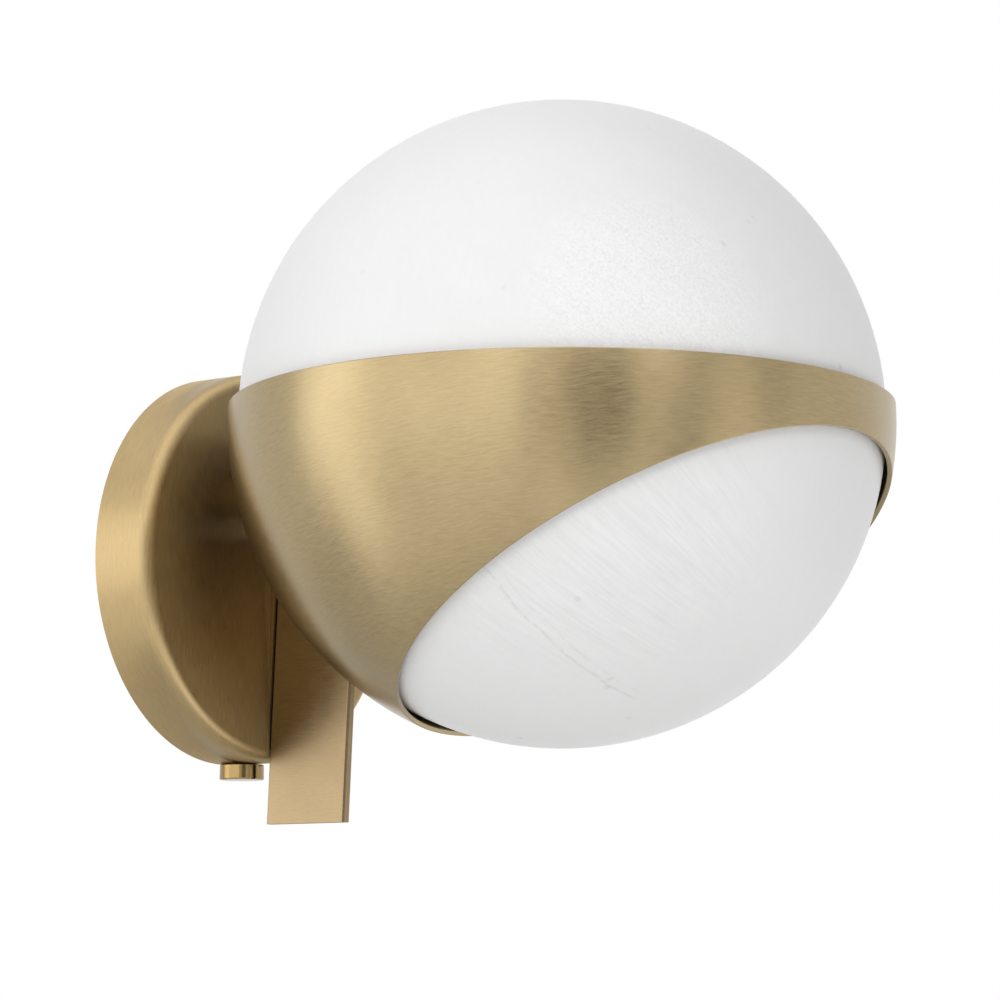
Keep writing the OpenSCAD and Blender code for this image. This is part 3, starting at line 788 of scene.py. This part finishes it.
class SCONCE_OT_knob(bpy.types.Operator):
    """Makes the thumbscrew with its thread, and finishes its bush and washer"""

    bl_idname = "sconce.knob"
    bl_label = "Thumbscrew"

    def execute(self, context):
        brass = ready("Polished brass")
        low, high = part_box("thumbscrew")
        washer_low, washer_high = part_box("thumbscrew_washer")
        base, radius = low.z, (high.x - low.x) / 2
        top, tip = washer_high.z - base, high.z - base
        recess, floor = washer_high.x + 0.3 * MM, washer_low.z - base - 0.05 * MM
        shank, pitch, depth, runout = 2 * MM, 0.7 * MM, 0.3 * MM, 0.6 * MM
        last_row = int((tip - floor) / pitch) * COIL_ROWS - 4
        outline = rounded([
            (0, 0, 0), (radius, 0, 0.5 * MM), (radius, top, 0.3 * MM), (recess, top, 0.1 * MM),
            (recess, floor, 0), (shank, floor, 0), *coils(shank, floor, pitch, 1, last_row),
            (shank, tip, 0.4 * MM), (0, tip, 0),
        ])
        repeated(
            turned("knob", outline, 64), "thumbscrew", [((low.x + high.x) / 2, (low.y + high.y) / 2, base)],
            brass, facing=(0.0, 0.0, 0.0), thread=(shank, pitch, depth, floor, tip - runout),
        )
        softened("bush", "bracket_bush", 0.25 * MM, brass)
        nylon = grained("Nylon", (0.78, 0.76, 0.7), 0.45, 1200.0, 0.01 * MM)
        softened("knob_washer", "thumbscrew_washer", 0.1 * MM, nylon)
        return {"FINISHED"}


class SCONCE_OT_globe(bpy.types.Operator):
    """Finishes the globe, its pads and its gaskets"""

    bl_idname = "sconce.globe"
    bl_label = "Globe"

    def execute(self, context):
        dress(white_glass(), "globe_dome", "globe_bowl")
        silicone = grained("Silicone", (0.66, 0.66, 0.64), 0.6, 900.0, 0.02 * MM)
        dress(silicone, "globe_pads", "outer_gasket", "inner_gasket")
        return {"FINISHED"}


class SCONCE_OT_strap(bpy.types.Operator):
    """Finishes the steel strap, the canopy's clip and the bar's pins"""

    bl_idname = "sconce.strap"
    bl_label = "Strap and clip"

    def execute(self, context):
        steel = ready("Zinc steel")
        softened("strap", "wall_bracket", 0.35 * MM, steel)
        softened("clip", "canopy_hook", 0.3 * MM, steel)
        softened("pins", "bar_pins", 0.3 * MM, steel)
        return {"FINISHED"}


class SCONCE_OT_stem(bpy.types.Operator):
    """Makes the threaded nipple, its nuts and its toothed washers"""

    bl_idname = "sconce.stem"
    bl_label = "Nipple and nuts"

    def execute(self, context):
        brass, steel = ready("Polished brass"), ready("Zinc steel")
        self.tube(brass)
        self.nuts(brass)
        self.washers(steel)
        return {"FINISHED"}

    def tube(self, brass):
        """The hollow nipple, threaded all along."""
        bore, ease, length = 4 * MM, 0.3 * MM, depth_of("nipple")
        pitch, depth, runout = 1.0 * MM, 0.45 * MM, 0.4 * MM
        last_row = int(length / pitch * COIL_ROWS) - 3
        outline = rounded([
            (bore, 0, ease), (NIPPLE_RADIUS, 0, ease), *coils(NIPPLE_RADIUS, 0.0, pitch, 4, last_row),
            (NIPPLE_RADIUS, length, ease), (bore, length, ease),
        ])
        repeated(
            turned("stem", outline, 40), "nipple", [(0, NIPPLE_HIGH.y, NIPPLE_LEVEL)], brass,
            thread=(NIPPLE_RADIUS, pitch, depth, runout, length - runout),
        )

    def nuts(self, brass):
        """Three hexagon nuts: behind the canopy's face, in front of the globe's washer and at the front end."""
        low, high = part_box("nipple_nuts")
        inscribed, thick, ease = (high.x - low.x) / 2, 3 * MM, 0.15 * MM
        backs = (high.y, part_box("globe_washer")[0].y, low.y + thick)
        sixth = math.pi / 3

        def six_sided(angle, r, z):
            """Bends the outer ring to a hexagon whose corners are chamfered."""
            if r < inscribed - HAIR:
                return r, z
            corner = inscribed / math.cos((angle + sixth / 2) % sixth - sixth / 2)
            drop = (corner - inscribed) * 0.6
            if ease < z < thick - ease:
                return corner, min(max(z, drop + ease), thick - drop - ease)
            return inscribed, z

        outline = [Vector(p) for p in (
            (NIPPLE_RADIUS, 0), (inscribed, 0), (inscribed, ease * 1.01), (inscribed, thick - ease * 1.01),
            (inscribed, thick), (NIPPLE_RADIUS, thick),
        )]
        places = [(0, y, NIPPLE_LEVEL) for y in backs]
        repeated(turned("nuts", outline, 72, six_sided), "nipple_nuts", places, brass, crease=0.12)

    def washers(self, steel):
        """Two washers with bent outer teeth, and the plain washer inside the globe."""
        low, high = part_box("lock_washers")
        outer, thick = (high.x - low.x) / 2, 0.8 * MM
        inner, root = NIPPLE_RADIUS + 0.1 * MM, outer - 1.5 * MM
        teeth, tooth = 12, 0.55

        def toothed(angle, r, z):
            """Cuts the outer ring into teeth that rise along their width."""
            phase = (angle * teeth / math.tau) % 1.0
            if r <= root + HAIR:
                return r, thick * 0.25 + z * 0.5
            if phase > tooth:
                return root + 2 * HAIR, thick * 0.25 + z * 0.5
            return r, z * 0.5 + thick * 0.5 * phase / tooth

        outline = [Vector((r, z)) for r, z in (
            (inner, 0), (root, 0), (outer, 0), (outer, thick), (root, thick), (inner, thick),
        )]
        washer = turned("tooth_washers", outline, teeth * 10, toothed)
        places = [(0, y, NIPPLE_LEVEL) for y in (high.y, low.y + thick)]
        repeated(washer, "lock_washers", places, steel, loosen=0.4)
        softened("globe_plate", "globe_washer", 0.2 * MM, steel)


def cheese_head(name, node, head, rise, shank, material, across=1, up=1):
    """Slotted screws in a row or block, with a rounded head of that radius and rise."""
    length = depth_of(node)
    outline = rounded([
        (0, 0, 0), (shank, 0, 0.3 * MM), (shank, length - rise, 0), (head, length - rise, 0.1 * MM),
        (head, length, 0.35 * MM), (0, length, 0),
    ])
    repeated(
        turned(name, outline, 32), node, spots(node, head, across, up), material, loosen=2.6,
        slot=(length, head * 0.32, min(rise, head) * 0.5),
    )


class SCONCE_OT_lampholder(bpy.types.Operator):
    """Finishes the lampholder, its stirrup, screws and contacts"""

    bl_idname = "sconce.lampholder"
    bl_label = "Lampholder"

    def execute(self, context):
        brass, steel = ready("Polished brass"), ready("Zinc steel")
        softened("holder_stirrup", "lampholder_bracket", 0.2 * MM, steel)
        softened("holder", "lampholder_body", 0.3 * MM, ready("Ceramic"), clamp=True)
        cheese_head("holder_screws", "lampholder_screws", 2.5 * MM, 1.8 * MM, 1.5 * MM, steel, across=2)
        low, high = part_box("lampholder_contacts")
        outer, inner, length = (high.z - low.z) / 2, 0.72 * MM, high.y - low.y
        sleeve = turned("contacts", rounded([
            (inner, 0, 0.15 * MM), (outer, 0, 0.15 * MM), (outer, length, 0.3 * MM), (inner, length, 0.5 * MM),
        ]), 32)
        repeated(sleeve, "lampholder_contacts", spots("lampholder_contacts", outer, across=2), brass)
        return {"FINISHED"}


class SCONCE_OT_bulb(bpy.types.Operator):
    """Finishes the bulb: its base, round-ended pins, frosted cover and light board"""

    bl_idname = "sconce.bulb"
    bl_label = "Bulb"

    def execute(self, context):
        softened("bulb_foot", "bulb_base", 0.4 * MM, ready("Ceramic"))
        low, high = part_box("bulb_pins")
        radius, length = (high.z - low.z) / 2, high.y - low.y
        pin = turned("pins_of_bulb", rounded([
            (0, 0, 0), (radius, 0, 0.5 * MM), (radius, length, 0), (0, length, 0),
        ], 6), 24)
        repeated(pin, "bulb_pins", spots("bulb_pins", radius, across=2), ready("Zinc steel"))
        cover = grained(
            "Frosted cover", (0.9, 0.9, 0.88), 0.45, 2500.0, 0.01 * MM, 0.02,
            Transmission_Weight=0.45, IOR=1.45,
        )
        dress(cover, "bulb_cover")
        dress(grained("Circuit board", (0.85, 0.84, 0.78), 0.5, 600.0, 0.02 * MM), "bulb_board")
        self.lights()
        return {"FINISHED"}

    def lights(self):
        """Two rows of small yellow lights on each face of the board, clear of its edges."""
        low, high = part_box("bulb_board")
        beside, beyond = 3.4 * MM, 6 * MM
        maker = Maker(
            "board_lights", Across=2, Along=7, Width=high.x - low.x - beside, Length=high.y - low.y - beyond,
            Size=(1.4 * MM, 1.4 * MM, 0.5 * MM), Middle=(low.y + high.y) / 2, Level=(high.z + low.z) / 2,
            Thick=high.z - low.z, Material=grained("Phosphor", (0.9, 0.75, 0.2), 0.5, 2000.0, 0.005 * MM),
        )
        grid = maker.shape(
            "MeshGrid", Size_X=maker.given("Width"), Size_Y=maker.given("Length"),
            Vertices_X=maker.given("Across"), Vertices_Y=maker.given("Along"),
        )
        chip = maker.shape("MeshCube", Size=maker.given("Size"))
        rows = maker.shape("InstanceOnPoints", Points=grid, Instance=chip)
        half = maker.given("Thick") * 0.5
        faces = []
        for side in (half, -half):
            lift = maker.join(0.0, maker.given("Middle"), maker.given("Level") + side)
            faces.append(maker.shape("Transform", Geometry=rows, Translation=lift))
        chips = maker.finish(maker.joined(faces))
        edge = chips.modifiers.new("Edge", "BEVEL")
        edge.width, edge.segments = 0.12 * MM, 2
        settled(chips)
        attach(chips, BODY_OF["bulb_board"])


class SCONCE_OT_terminals(bpy.types.Operator):
    """Finishes the terminal block and makes its slotted screws and the earth screw"""

    bl_idname = "sconce.terminals"
    bl_label = "Terminals"

    def execute(self, context):
        steel, brass = ready("Zinc steel"), ready("Polished brass")
        plastic = grained("Terminal plastic", (0.8, 0.8, 0.76), 0.4, 1600.0, 0.015 * MM)
        softened("terminal_body", "terminal_block", 0.25 * MM, plastic)
        pole = depth_of("terminal_screws") - 0.2 * MM
        cheese_head("pole_screws", "terminal_screws", 1.5 * MM, pole, 1.3 * MM, steel, across=3, up=2)
        cheese_head("fixing_screws", "block_screws", 2.0 * MM, 1.6 * MM, 1.25 * MM, steel, across=2)
        cheese_head("earth_fixing", "earth_screw", 3.5 * MM, 2.4 * MM, 2.0 * MM, brass)
        softened("ring_tag", "earth_tag", 0.12 * MM, steel, 2)
        return {"FINISHED"}


class SCONCE_OT_wires(bpy.types.Operator):
    """Makes the insulated wires round and gives each its colour"""

    bl_idname = "sconce.wires"
    bl_label = "Wires"

    def execute(self, context):
        brown = grained("Brown insulation", (0.13, 0.055, 0.025), 0.4, 1500.0, 0.01 * MM)
        blue = grained("Blue insulation", (0.03, 0.11, 0.4), 0.4, 1500.0, 0.01 * MM)
        swept_smooth("wire_brown", "live_wire", brown)
        swept_smooth("wire_blue", "neutral_wire", blue)
        swept_smooth("wire_striped", "earth_wire", earth_insulation())
        return {"FINISHED"}


FLOOR_LEVEL, FLOOR_SIZE = -0.9, 4.4
# The way from the globe to the camera, in degrees
CAMERA_BEARING, CAMERA_RISE = -55.48, -8.235
CAMERA_PLACE = Vector((-0.7912, -0.6551, -0.1239))
SENSOR_WIDTH = 36.0


def towards(turn, rise, distance):
    """A place that far from the globe, turned from the camera's bearing and raised, in degrees."""
    bearing, lift = math.radians(CAMERA_BEARING + turn), math.radians(rise)
    way = Vector((math.sin(bearing) * math.cos(lift), -math.cos(bearing) * math.cos(lift), math.sin(lift)))
    return GLOBE_CENTRE + way * distance


def placed(name, data, turn, rise, distance):
    """A light or card on its place in the studio, square to the globe."""
    obj = added(name, data)
    obj.location = towards(turn, rise, distance)
    obj.rotation_mode = "QUATERNION"
    obj.rotation_quaternion = (GLOBE_CENTRE - obj.location).to_track_quat("-Z", "Y")
    return obj


def soft_panel(name, turn, rise, distance, width, height, brightness):
    """A rectangular studio light that faces the globe; brightness is that of its surface."""
    light = bpy.data.lights.new(name, "AREA")
    light.shape, light.size, light.size_y = "RECTANGLE", width, height
    light.energy = brightness * math.pi * width * height
    placed(name, light, turn, rise, distance)


def paint(name, shader):
    """A studio material; shader adds nodes to its net and gives the last one."""
    material = bpy.data.materials.new(name)
    material.use_nodes = True
    net = Net(material.node_tree)
    net.tree.links.new(shader(net).socket, net.tree.nodes["Material Output"].inputs[0])
    return material


def sheet_mesh(name, width, height, material):
    """One flat rectangle round the origin."""
    bm = bmesh.new()
    bmesh.ops.create_grid(bm, x_segments=1, y_segments=1, size=0.5)
    bmesh.ops.scale(bm, vec=(width, height, 1.0), verts=bm.verts)
    mesh = bpy.data.meshes.new(name)
    bm.to_mesh(mesh)
    bm.free()
    mesh.materials.append(material)
    return mesh


def grey_card(name, turn, rise, distance, width, height, level):
    """A card behind the panels that only glossy rays see: it sets how bright a band in the brass is."""
    grey = paint(name, lambda net: net.add("ShaderNodeEmission", inputs={"Color": (level, level, level, 1)}))
    card = placed(name, sheet_mesh(name, width, height, grey), turn, rise, distance)
    card.visible_camera = card.visible_diffuse = card.visible_transmission = card.visible_shadow = False


def seen_rays(net):
    """1 on rays that show the background: from the camera, off gloss and through glass."""
    outs = net.add("ShaderNodeLightPath").socket.node.outputs
    shown = [Link(net, outs[f"Is {kind} Ray"]) for kind in ("Camera", "Glossy", "Transmission")]
    return (shown[0] + shown[1] + shown[2]).math("MINIMUM", 1.0)


def pale_floor(net):
    """Matt white that partly glows on the rays that show the background."""
    matt = net.add("ShaderNodeBsdfDiffuse", inputs={"Color": (0.88, 0.88, 0.87, 1)})
    glow = net.add("ShaderNodeEmission", inputs={"Color": (1, 1, 1, 1)})
    return net.add("ShaderNodeMixShader", inputs={0: seen_rays(net) * 0.55, 1: matt, 2: glow})


# Each panel's turn from the camera's bearing and its rise, in degrees, then its distance, width, height
# and brightness
PANELS = [
    ("Far left", -76, 5, 1.5, 1.2, 0.9, 1.2),
    ("Near left", -34, 5, 1.5, 1.05, 0.9, 1.42),
    ("Middle", 10, 5, 1.5, 0.42, 0.9, 0.17),
    ("Right", 30, 5, 1.5, 0.45, 0.9, 0.44),
    ("Far right", 55, 5, 1.5, 0.5, 0.9, 0.46),
    ("Upper left", -62, 28, 1.5, 1.7, 0.4, 0.36),
    ("Upper front", -10, 28, 1.5, 0.9, 0.4, 1.42),
    ("Upper right", 25, 28, 1.5, 0.9, 0.4, 2.07),
    ("High left", -75, 50, 1.5, 2.0, 0.7, 0.28),
    ("High front", 0, 50, 1.5, 1.5, 0.7, 0.86),
    ("Top", 0, 80, 1.4, 1.2, 1.2, 0.84),
    ("Low right", 70, -33, 1.2, 0.8, 0.6, 1.6),
    ("Low front", 13, -33, 1.2, 0.8, 0.6, 0.96),
    ("Low left", -48, -33, 1.2, 1.6, 0.6, 0.56),
    ("Low back", 120, -33, 1.2, 0.8, 0.6, 0.62),
]
# The same for each grey card, with its level last
CARDS = [
    ("Card_far_left", -80, -15, 1.7, 0.6, 2.4, 1.55),
    ("Card_left", -33, 10, 1.7, 1.0, 1.3, 0.62),
    ("Card_middle", 12, 5, 1.7, 0.61, 2.2, 0.1),
    ("Card_right", 38, 5, 1.7, 0.85, 2.2, 0.62),
    ("Card_far_right", 65, 5, 1.7, 0.85, 2.2, 0.76),
]


class SCONCE_OT_studio(bpy.types.Operator):
    """Sets up the floor, the lights, the white surroundings and the camera"""

    bl_idname = "sconce.studio"
    bl_label = "Studio"

    def execute(self, context):
        studio = context.scene.sconce_studio
        self.surroundings(context.scene, studio.fill)
        self.floor()
        for name, *place, brightness in PANELS:
            soft_panel(name, *place, brightness * studio.level)
        for card in CARDS:
            grey_card(*card)
        self.camera(context.scene, studio.lens)
        context.scene.view_settings.view_transform = "Standard"
        return {"FINISHED"}

    def surroundings(self, scene, fill):
        world = bpy.data.worlds.new("White surroundings")
        world.use_nodes = True
        scene.world = world
        net = Net(world.node_tree)
        shown = seen_rays(net)
        back = world.node_tree.nodes["Background"]
        back.inputs["Color"].default_value = (1, 1, 1, 1)
        world.node_tree.links.new((fill + shown * (1.0 - fill)).socket, back.inputs["Strength"])

    def floor(self):
        floor = added("floor", sheet_mesh("floor", FLOOR_SIZE, FLOOR_SIZE, paint("Pale floor", pale_floor)))
        floor.location = (GLOBE_CENTRE.x, GLOBE_CENTRE.y, FLOOR_LEVEL)

    def camera(self, scene, lens):
        camera = added("Camera", bpy.data.cameras.new("Camera"))
        camera.data.lens, camera.data.sensor_width = lens, SENSOR_WIDTH
        bearing = math.radians(CAMERA_BEARING)
        back = towards(0, CAMERA_RISE, 1.0) - GLOBE_CENTRE
        right = Vector((math.cos(bearing), math.sin(bearing), 0))
        turn = Matrix((right, back.cross(right), back)).transposed()
        camera.matrix_world = Matrix.Translation(CAMERA_PLACE) @ turn.to_4x4()
        scene.camera = camera


class SCONCE_PT_workshop(bpy.types.Panel):
    """Lists the sconce's sizes, finishes and steps"""

    bl_label = "Wall sconce"
    bl_space_type = "VIEW_3D"
    bl_region_type = "UI"
    bl_category = "Sconce"

    def draw(self, context):
        for name, _ in GROUPS:
            box = self.layout.box()
            group = getattr(context.scene, name)
            for key in group.__annotations__:
                box.prop(group, key)
        for step in STEPS:
            self.layout.operator(step.bl_idname)


GROUPS = [
    ("sconce_brass", BrassFinish),
    ("sconce_glass", GlassFinish),
    ("sconce_cradle", CradleSizes),
    ("sconce_studio", StudioSettings),
]
STEPS = [
    SCONCE_OT_cradle, SCONCE_OT_canopy, SCONCE_OT_knob, SCONCE_OT_globe, SCONCE_OT_strap, SCONCE_OT_stem,
    SCONCE_OT_lampholder, SCONCE_OT_bulb, SCONCE_OT_terminals, SCONCE_OT_wires, SCONCE_OT_studio,
]


def register():
    for name, group in GROUPS:
        bpy.utils.register_class(group)
        setattr(bpy.types.Scene, name, PointerProperty(type=group))
    for step in STEPS:
        bpy.utils.register_class(step)
    bpy.utils.register_class(SCONCE_PT_workshop)


def unregister():
    bpy.utils.unregister_class(SCONCE_PT_workshop)
    for step in reversed(STEPS):
        bpy.utils.unregister_class(step)
    for name, group in reversed(GROUPS):
        delattr(bpy.types.Scene, name)
        bpy.utils.unregister_class(group)


def main():
    register()
    for step in STEPS:
        group, name = step.bl_idname.split(".")
        getattr(getattr(bpy.ops, group), name)()


if __name__ == "__main__":
    main()
